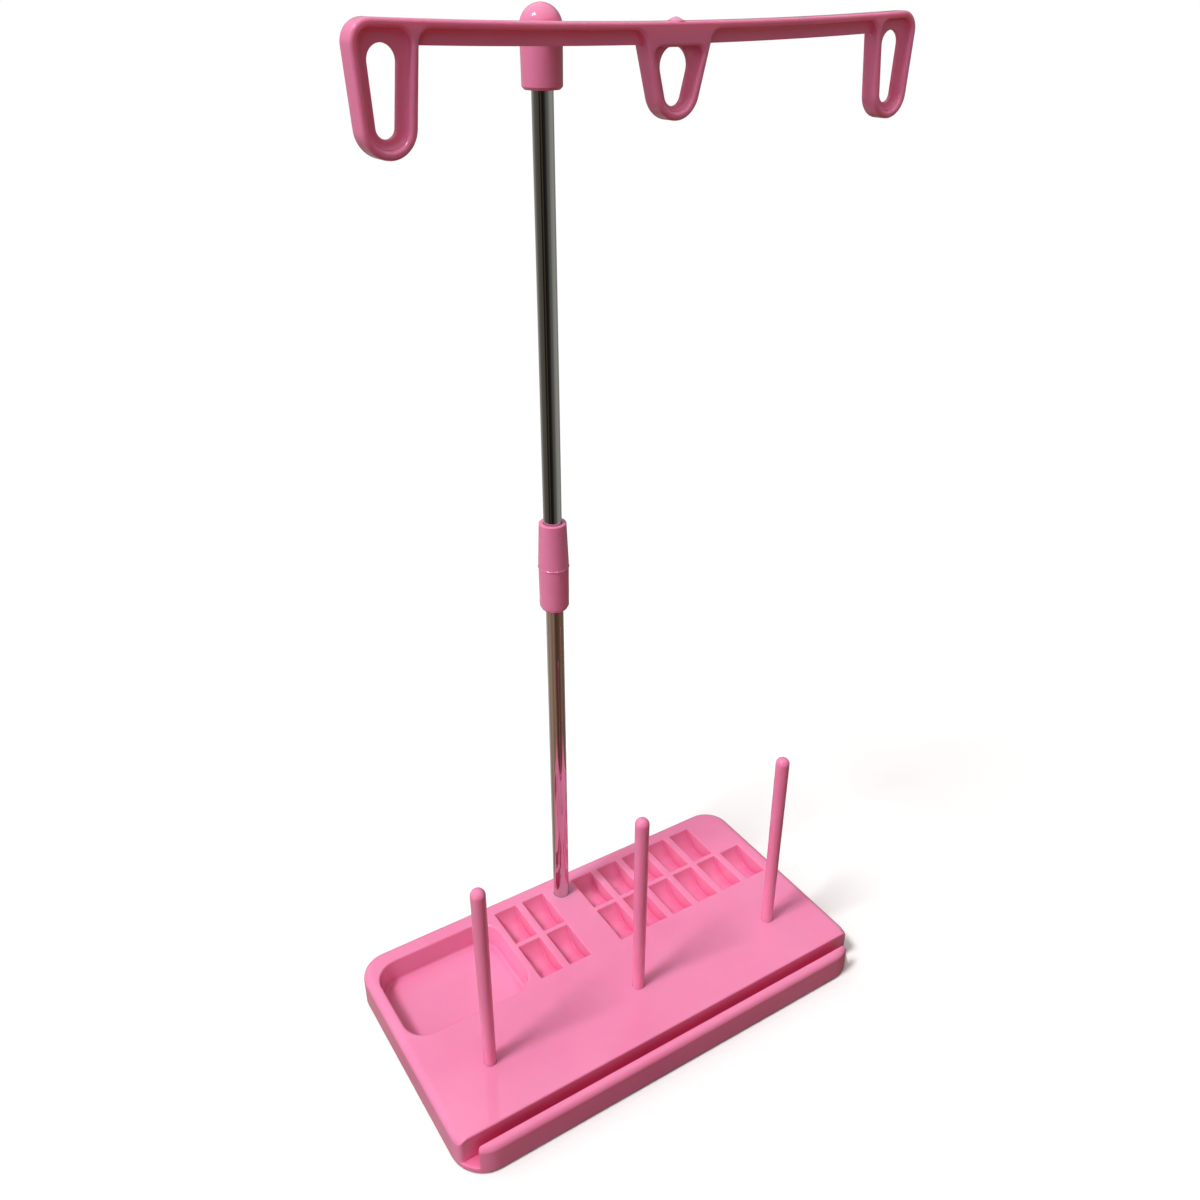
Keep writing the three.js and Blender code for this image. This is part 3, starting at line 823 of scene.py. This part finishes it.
def rims():
    """The crossbar's flange and the eyelets at full depth, with rounded edges at both faces."""
    outline = guide_outline(FLANGE, BAY_CORNER)
    slices = edge_from(GUIDE_FRONT, GUIDE_EDGE) + edge_to(GUIDE_BACK, GUIDE_EDGE)
    return loft([front_view(grown(outline, -inset), y) for inset, y in slices])


def web_plate():
    """The thin web in the middle of the guide's depth."""
    outline = grown(guide_outline(WEB_HEIGHT, WEB_CORNER), -HAIR)
    return loft([front_view(outline, y) for y in (WEB_FRONT, WEB_BACK)])


def web_fillet():
    """Fills the inner corners between the crossbar's flange and its web, on both sides of the web."""
    flare = edge_from(WEB / 2, WEB_FILLET)
    slices = [(FLANGE + inset, GUIDE_MIDDLE - depth) for inset, depth in reversed(flare)]
    slices += [(FLANGE + inset, GUIDE_MIDDLE + depth) for inset, depth in flare]
    return loft([front_view(grown(guide_outline(height, BAY_CORNER), -HAIR), y) for height, y in slices])


def pocket_cutter(outline, face, inward):
    """A pocket from one face of the guide to its web: rounded at the face and filleted at the floor."""
    depth = (GUIDE_DEPTH - WEB) / 2
    slices = [(POCKET_EDGE, -PAST), *edge_from(0, POCKET_EDGE)]
    slices += [(-inset, run) for inset, run in edge_to(depth, POCKET_FLOOR)]
    return loft([front_view(grown(outline, out), face + inward * run) for out, run in slices])


def hole_cutter(outline):
    """A hole through the web, with rounded edges on both sides."""
    slices = [
        (HOLE_EDGE, WEB_FRONT - PAST),
        *edge_from(WEB_FRONT, HOLE_EDGE),
        *edge_to(WEB_BACK, HOLE_EDGE),
        (HOLE_EDGE, WEB_BACK + PAST)]
    return loft([front_view(grown(outline, out), y) for out, y in slices])


def guide_arm():
    """The flat arm behind the crossbar, which flares towards it in a smooth curve, with a rib below."""
    top = GUIDE_TOP - ARM_TOP_DROP
    root_y = GUIDE_BACK - PAST
    # The arm ends inside the cap
    hub_y = -CAP_RADIUS / 2
    root = Vector((ARM_ROOT_HALF, root_y))
    bend = Vector((ARM_HUB_HALF, root_y + ARM_FLARE))
    hub = Vector((ARM_HUB_HALF, hub_y))
    side = []
    for i in range(ARM_STEPS + 1):
        t = i / ARM_STEPS
        side.append(tuple((1 - t) ** 2 * root + 2 * t * (1 - t) * bend + t * t * hub))
    outline = side + mirrored(side)
    slices = edge_from(top - ARM_PLATE, ARM_EDGE) + edge_to(top, ARM_EDGE)
    plate = loft([plan(grown(outline, -inset), z) for inset, z in slices])
    rib = block(-ARM_RIB / 2, ARM_RIB / 2, root_y, hub_y, top - ARM_HEIGHT, top - ARM_PLATE / 2)
    return combine(plate, [rib], "UNION")


def guide_cap():
    """The domed cap, a little narrower at its bottom, before its bore is cut."""
    bottom_radius = CAP_RADIUS - CAP_DRAFT
    dome_z = UPPER_TUBE["top"] + CAP_ROOF
    return turned([
        (0, CAP_BOTTOM),
        (bottom_radius - CAP_CHAMFER, CAP_BOTTOM),
        (bottom_radius, CAP_BOTTOM + CAP_CHAMFER),
        *arc(0, dome_z, CAP_RADIUS, 0, 90, DOME_STEPS)[:-1],
        (0, dome_z + CAP_RADIUS)])


def gate_nub():
    """The low mound left by the mould's gate, on top of the crossbar."""
    mound = []
    for i in range(NUB_STEPS + 1):
        share = i / NUB_STEPS
        rise = NUB_HEIGHT * (1 - math.cos(math.pi * share)) / 2
        mound.append((NUB_RADIUS * (1 - share), GUIDE_TOP + rise))
    foot = [(0, GUIDE_TOP - PAST), (NUB_RADIUS, GUIDE_TOP - PAST)]
    return turned(foot + mound, NUB_OFFSET, GUIDE_MIDDLE)


def thread_guide():
    guide = combine(rims(), [web_plate(), web_fillet()], "UNION")
    pockets = [end_pocket(), mirrored(end_pocket()), mid_pocket()]
    holes = [end_hole(), mirrored(end_hole()), mid_hole()]
    cutters = [pocket_cutter(outline, GUIDE_FRONT, 1) for outline in pockets]
    cutters += [pocket_cutter(outline, GUIDE_BACK, -1) for outline in pockets]
    cutters += [hole_cutter(outline) for outline in holes]
    guide = combine(guide, cutters, "DIFFERENCE")
    guide = combine(guide, [guide_arm(), guide_cap(), gate_nub()], "UNION")
    bore = rod(0, 0, CAP_BORE, CAP_BOTTOM - PAST, UPPER_TUBE["top"] + CAP_SEAT_GAP)
    guide = combine(guide, [bore], "DIFFERENCE")
    return put_on_post(guide, GUIDE_TURN)


# Materials: the scales of patterns are in repeats to a metre, and heights and depths are in metres

# The range in which nearly all values of a noise pattern lie
NOISE_RANGE = (0.3, 0.7)


class Nodes:
    """A short way to add nodes to a tree and join them."""

    def __init__(self, tree):
        self.tree = tree
        self.tree.nodes.clear()

    def add(self, kind, inputs=None, **settings):
        """A new node, whose inputs are each set to a value or joined to the socket given."""
        node = self.tree.nodes.new(kind)
        for name, value in settings.items():
            setattr(node, name, value)
        for name, value in (inputs or {}).items():
            if isinstance(value, bpy.types.NodeSocket):
                self.tree.links.new(value, node.inputs[name])
            else:
                node.inputs[name].default_value = value
        return node

    def place(self):
        """Where the point lies on its object."""
        return self.add("ShaderNodeTexCoord").outputs["Object"]

    def noise(self, place, scale, octaves):
        node = self.add("ShaderNodeTexNoise", {"Vector": place, "Scale": scale, "Detail": octaves})
        return node.outputs["Fac"]

    def span(self, value, to, over=NOISE_RANGE):
        """Turns the values of one range into those of another, and keeps within it."""
        node = self.add("ShaderNodeMapRange", {
            "Value": value, "From Min": over[0], "From Max": over[1], "To Min": to[0], "To Max": to[1]})
        return node.outputs["Result"]

    def ramp(self, factor, stops):
        """A colour that runs through stops, each of a position and a colour."""
        node = self.add("ShaderNodeValToRGB", {"Fac": factor})
        elements = node.color_ramp.elements
        while len(elements) < len(stops):
            # Any place between the two first elements will do until the next loop
            elements.new(0.5)
        for element, (position, colour) in zip(elements, stops):
            element.position = position
            element.color = (*colour, 1)
        return node.outputs["Color"]

    def bump(self, pattern, height, strength=1, over=None):
        """Relief from a pattern, laid over another relief where one is given."""
        inputs = {"Height": pattern, "Distance": height, "Strength": strength}
        if over is not None:
            inputs["Normal"] = over
        return self.add("ShaderNodeBump", inputs).outputs["Normal"]

    def blend(self, share, first, second):
        """The first shader where the share is 0, and the second where it is 1."""
        return self.add("ShaderNodeMixShader", {"Fac": share, 1: first.outputs[0], 2: second.outputs[0]})

    def finish(self, shader, output="ShaderNodeOutputMaterial"):
        self.add(output, {"Surface": shader.outputs[0]})


def new_material(name):
    material = bpy.data.materials.new(name)
    material.use_nodes = True
    return material, Nodes(material.node_tree)


# Pink plastic: colour and gloss that differ a little from patch to patch, a slow wave and a fine skin
PINK_PATCHES = 18
PINK_STOPS = [
    (0.0, (0.85, 0.240, 0.435)),
    (0.5, (0.88, 0.262, 0.462)),
    (1.0, (0.90, 0.282, 0.485))]
PINK_GLOSS_PATCHES = 45
PINK_ROUGHNESS = (0.05, 0.1)
PINK_IOR = 1.5
PINK_WAVES = 24
PINK_WAVE_HEIGHT = 0.00012
PINK_SKIN = 900
PINK_SKIN_HEIGHT = 0.00002
PINK_SKIN_STRENGTH = 0.3

# Light that soaks into the pink plastic: its share, its depth, and each colour's part of that depth
PINK_SOAK = 0.5
PINK_SOAK_DEPTH = 0.004
PINK_SOAK_PARTS = (1, 0.2, 0.15)

# Painted shade: in a recess, found by ambient occlusion, the colour is darkened and deepened, standing in
# for light that has met pink walls more than once
RECESS_REACH = 0.01
RECESS_SAMPLES = 6
RECESS_OPEN = (0.1, 0.7)
RECESS_DEEPENS = (2, 1)


def pink_plastic():
    material, nodes = new_material("pink_plastic")
    place = nodes.place()
    patches = nodes.noise(place, PINK_PATCHES, octaves=3)
    colour = nodes.ramp(nodes.span(patches, (0, 1)), PINK_STOPS)
    # Painted shade: ambient occlusion darkens and deepens the colour in recesses
    openness = nodes.add("ShaderNodeAmbientOcclusion", {"Distance": RECESS_REACH},
                         samples=RECESS_SAMPLES, only_local=True).outputs["AO"]
    recess_shade_power = nodes.span(openness, RECESS_DEEPENS, RECESS_OPEN)
    painted_recess_shade = nodes.add("ShaderNodeGamma", {"Color": colour, "Gamma": recess_shade_power}).outputs["Color"]
    rough = nodes.span(nodes.noise(place, PINK_GLOSS_PATCHES, octaves=4), PINK_ROUGHNESS)
    wave = nodes.bump(nodes.noise(place, PINK_WAVES, octaves=1), PINK_WAVE_HEIGHT)
    grain = nodes.noise(place, PINK_SKIN, octaves=2)
    skin = nodes.bump(grain, PINK_SKIN_HEIGHT, PINK_SKIN_STRENGTH, wave)
    nodes.finish(nodes.add("ShaderNodeBsdfPrincipled", {
        "Base Color": painted_recess_shade,
        "Roughness": rough,
        "Normal": skin,
        "IOR": PINK_IOR,
        "Subsurface Weight": PINK_SOAK,
        "Subsurface Scale": PINK_SOAK_DEPTH,
        "Subsurface Radius": PINK_SOAK_PARTS}))
    return material


# Chromed tube: streaks drawn along it, close together across it and long the other way
CHROME_STREAKS = (900, 900, 6)
CHROME_STOPS = [
    (0.0, (0.56, 0.55, 0.54)),
    (1.0, (0.66, 0.65, 0.64))]
CHROME_ROUGHNESS = (0.04, 0.09)
CHROME_STREAK_HEIGHT = 0.00002
CHROME_STREAK_STRENGTH = 0.25


def chrome():
    material, nodes = new_material("chrome_tube")
    drawn = nodes.add("ShaderNodeMapping", {"Vector": nodes.place(), "Scale": CHROME_STREAKS})
    streaks = nodes.noise(drawn.outputs["Vector"], scale=1, octaves=3)
    nodes.finish(nodes.add("ShaderNodeBsdfPrincipled", {
        "Base Color": nodes.ramp(nodes.span(streaks, (0, 1)), CHROME_STOPS),
        "Roughness": nodes.span(streaks, CHROME_ROUGHNESS),
        "Normal": nodes.bump(streaks, CHROME_STREAK_HEIGHT, CHROME_STREAK_STRENGTH),
        "Metallic": 1}))
    return material


# Grained black rubber
RUBBER_GRAIN = 1500
RUBBER_STOPS = [
    (0.0, (0.018, 0.018, 0.02)),
    (1.0, (0.035, 0.034, 0.036))]
RUBBER_ROUGHNESS = 0.75
RUBBER_GRAIN_HEIGHT = 0.00005
RUBBER_GRAIN_STRENGTH = 0.6


def rubber():
    material, nodes = new_material("pad_rubber")
    grain = nodes.noise(nodes.place(), RUBBER_GRAIN, octaves=3)
    nodes.finish(nodes.add("ShaderNodeBsdfPrincipled", {
        "Base Color": nodes.ramp(nodes.span(grain, (0, 1)), RUBBER_STOPS),
        "Normal": nodes.bump(grain, RUBBER_GRAIN_HEIGHT, RUBBER_GRAIN_STRENGTH),
        "Roughness": RUBBER_ROUGHNESS}))
    return material


# Finished pieces: faces that meet at a smaller angle than this are shaded as one smooth surface
SMOOTH_BELOW = math.radians(32)


def finish_piece(body, name, node, carrier, material):
    """Turns a body to metres, shades it and puts it on its carrier in place of its node."""
    body.name = name
    mesh = body.data
    mesh.transform(Matrix.Scale(MM, 4))
    mesh.shade_smooth()
    mesh.set_sharp_from_angle(angle=SMOOTH_BELOW)
    weights = body.modifiers.new("weights", "WEIGHTED_NORMAL")
    weights.keep_sharp = True
    apply_modifiers(body)
    body.data.materials.clear()
    body.data.materials.append(material)
    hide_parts(node)
    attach(body, carrier)


def build_pieces():
    pink = pink_plastic()
    metal = chrome()
    black = rubber()
    finish_piece(base_moulding(), "base_moulding", "base_shell", "base", pink)
    for pad in PADS:
        finish_piece(foot_pad(pad), "rubber_" + pad["node"], pad["node"], "base", black)
    for side, pin in PINS.items():
        name = "moulded_pin_" + side
        finish_piece(spool_pin(pin), name, pin["node"], side + "_pin", pink)
    lower = tube(LOWER_TUBE)
    finish_piece(lower, "chromed_lower_tube", "lower_tube", "lower_post", metal)
    finish_piece(coupler(), "moulded_coupler", "tube_coupler", "lower_post", pink)
    upper = tube(UPPER_TUBE)
    finish_piece(upper, "chromed_upper_tube", "upper_tube", "upper_post", metal)
    finish_piece(thread_guide(), "moulded_guide", "thread_guide", "guide", pink)


# Camera, light and floor, all in metres

CAMERA_PLACE = (-0.21401, -0.32836, 0.44256)
CAMERA_FORWARD = (0.46607, 0.73757, -0.48863)
CLIP_START = 0.01

# Width of the camera's sensor in millimetres, and its focal length in pixels of the square photograph
SENSOR = 36
PHOTO_SIDE = 1200
FOCAL_PIXELS = 1080.78


def aim(thing, direction):
    """Turns a camera or lamp so that it looks or shines along a direction."""
    thing.rotation_euler = Vector(direction).to_track_quat("-Z", "Y").to_euler()


def add_camera():
    data = bpy.data.cameras.new("camera")
    data.sensor_width = SENSOR
    data.lens = SENSOR * FOCAL_PIXELS / PHOTO_SIDE
    data.clip_start = CLIP_START
    camera = bpy.data.objects.new("camera", data)
    camera.location = CAMERA_PLACE
    aim(camera, CAMERA_FORWARD)
    bpy.context.scene.collection.objects.link(camera)
    bpy.context.scene.camera = camera


# Key lamp: the direction in which it shines, round from +X, how high it stands and how wide it looks
SUN_TOWARDS = 5
SUN_HEIGHT = 57
SUN_SOFTNESS = 13
SUN_STRENGTH = 2.1

# Weak lamps that only glint in the gloss, each by the direction in which it lies
GLINTS = {"left_glint": (-0.85, 0.43, 0.27), "front_glint": (-0.78, -0.44, 0.44)}
GLINT_SOFTNESS = 6
GLINT_STRENGTH = 0.12


def add_sun(name, shine, strength, softness):
    """A far lamp that shines along a direction."""
    data = bpy.data.lights.new(name, "SUN")
    data.energy = strength
    data.angle = math.radians(softness)
    sun = bpy.data.objects.new(name, data)
    aim(sun, shine)
    bpy.context.scene.collection.objects.link(sun)
    return sun


def add_lamps():
    away = math.radians(SUN_TOWARDS)
    fall = math.radians(SUN_HEIGHT)
    shine = (math.cos(fall) * math.cos(away), math.cos(fall) * math.sin(away), -math.sin(fall))
    add_sun("key", shine, SUN_STRENGTH, SUN_SOFTNESS)
    for name, place in GLINTS.items():
        glint = add_sun(name, -Vector(place), GLINT_STRENGTH, GLINT_SOFTNESS)
        glint.visible_diffuse = False


WHITE = (1, 1, 1, 1)


def seen_directly(nodes):
    """1 for rays from the camera, a mirror or through glass, and 0 for the rays that light the object."""
    path = nodes.add("ShaderNodeLightPath").outputs
    seen = nodes.add("ShaderNodeMath", {0: path["Is Camera Ray"], 1: path["Is Glossy Ray"]},
                     operation="MAXIMUM").outputs[0]
    return nodes.add("ShaderNodeMath", {0: seen, 1: path["Is Transmission Ray"]},
                     operation="MAXIMUM").outputs[0]


# Light of the world, from the first stop, opposite this direction, to the last one, right along it
AMBIENT_TOWARDS = (-0.72, 0.1, 0.69)
AMBIENT_STOPS = [
    (0.0, (0.010, 0.004, 0.003)),
    (0.3, (0.080, 0.028, 0.020)),
    (0.5, (0.290, 0.135, 0.115)),
    (0.7, (0.610, 0.575, 0.560)),
    (1.0, (0.840, 0.880, 0.880))]


def add_world():
    """White where it is seen; its light is pale from the upper left, and dim and warm elsewhere."""
    world = bpy.data.worlds.new("studio")
    world.use_nodes = True
    bpy.context.scene.world = world
    nodes = Nodes(world.node_tree)
    direction = nodes.add("ShaderNodeTexCoord").outputs["Generated"]
    along = nodes.add("ShaderNodeVectorMath", {0: direction, 1: AMBIENT_TOWARDS},
                      operation="DOT_PRODUCT").outputs["Value"]
    level = nodes.span(along, (0, 1), (-1, 1))
    ambient = nodes.add("ShaderNodeBackground", {"Color": nodes.ramp(level, AMBIENT_STOPS)})
    white = nodes.add("ShaderNodeBackground", {"Color": WHITE})
    nodes.finish(nodes.blend(seen_directly(nodes), ambient, white), "ShaderNodeOutputWorld")


# Cards round the stand, seen only in its reflections: a dark wall, and a warm sheet on the floor.
# The stops give their light once round the post, from the side away from the camera.
CARD_RADIUS = 0.45
CARD_HEIGHT = 0.75
CARD_LIFT = 0.0003
CARD_FACING = 237.7
WALL_STOPS = [
    (0.14, (0.38, 0.37, 0.36)),
    (0.24, (0.13, 0.12, 0.11)),
    (0.34, (0.09, 0.09, 0.07)),
    (0.38, (0.09, 0.085, 0.07)),
    (0.40, (0.010, 0.008, 0.005)),
    (0.42, (0.015, 0.012, 0.008)),
    (0.45, (0.075, 0.06, 0.04)),
    (0.48, (0.010, 0.006, 0.006)),
    (0.55, (0.022, 0.022, 0.020)),
    (0.60, (0.10, 0.105, 0.095)),
    (0.66, (0.14, 0.14, 0.125)),
    (0.70, (0.31, 0.31, 0.29)),
    (0.80, (0.36, 0.35, 0.33)),
    (0.92, (0.24, 0.23, 0.21))]
SHEET_STOPS = [
    (0.14, (0.60, 0.55, 0.52)),
    (0.24, (0.27, 0.20, 0.16)),
    (0.30, (0.42, 0.30, 0.21)),
    (0.40, (0.25, 0.15, 0.10)),
    (0.45, (0.34, 0.23, 0.17)),
    (0.52, (0.10, 0.045, 0.03)),
    (0.62, (0.12, 0.06, 0.035)),
    (0.70, (0.20, 0.12, 0.08)),
    (0.80, (0.17, 0.10, 0.065)),
    (0.92, (0.30, 0.24, 0.20))]


def card_material(name, stops):
    """Light that changes round the post; halfway along the stops is the side where the camera is."""
    material, nodes = new_material(name)
    around = nodes.add("ShaderNodeTexGradient", {"Vector": nodes.place()}, gradient_type="RADIAL")
    nodes.finish(nodes.add("ShaderNodeEmission", {"Color": nodes.ramp(around.outputs["Fac"], stops)}))
    return material


def add_card(name, lower, upper, stops):
    """A band between two rings round the post, each given as a radius and a height."""
    bm = bmesh.new()
    rings = [[bm.verts.new((x, y, height)) for x, y in arc(0, 0, radius, 0, 360, ROUND)[:-1]]
             for radius, height in (lower, upper)]
    for i in range(ROUND):
        bm.faces.new((rings[0][i - 1], rings[0][i], rings[1][i], rings[1][i - 1]))
    card = new_object(name, bm)
    card.location = (0, POST_Y * MM, 0)
    card.rotation_euler = (0, 0, math.radians(CARD_FACING))
    card.data.materials.append(card_material(name, stops))
    card.visible_camera = False
    card.visible_diffuse = False
    card.visible_transmission = False
    card.visible_shadow = False


def add_cards():
    add_card("wall_card", (CARD_RADIUS, 0), (CARD_RADIUS, CARD_HEIGHT), WALL_STOPS)
    add_card("sheet_card", (TUBE_RADIUS * MM, CARD_LIFT), (CARD_RADIUS, CARD_LIFT), SHEET_STOPS)


# Floor: near white where it is seen, fading to pure white between two distances from the stand's middle,
# and dim and warm in the light that it throws back at the stand
FLOOR_RADIUS = 6
FLOOR_FADE = (0.3, 0.8)
FLOOR_COLOUR = (0.98, 0.98, 0.98, 1)
FLOOR_BOUNCE = (0.14, 0.055, 0.042, 1)


def floor_material():
    material, nodes = new_material("floor")
    distance = nodes.add("ShaderNodeVectorMath", {0: nodes.place()}, operation="LENGTH").outputs["Value"]
    lit = nodes.add("ShaderNodeBsdfDiffuse", {"Color": FLOOR_COLOUR})
    white = nodes.add("ShaderNodeEmission", {"Color": WHITE})
    shown = nodes.blend(nodes.span(distance, (0, 1), FLOOR_FADE), lit, white)
    bounce = nodes.add("ShaderNodeBsdfDiffuse", {"Color": FLOOR_BOUNCE})
    nodes.finish(nodes.blend(seen_directly(nodes), bounce, shown))
    return material


def add_floor():
    bm = bmesh.new()
    corners = arc(0, 0, FLOOR_RADIUS, 0, 360, ROUND)[:-1]
    bm.faces.new([bm.verts.new((x, y, 0)) for x, y in corners])
    floor = new_object("floor", bm)
    floor.data.materials.append(floor_material())


def main():
    add_camera()
    add_lamps()
    add_world()
    add_floor()
    add_cards()
    build_pieces()
    bpy.context.scene.view_settings.view_transform = "Standard"


main()
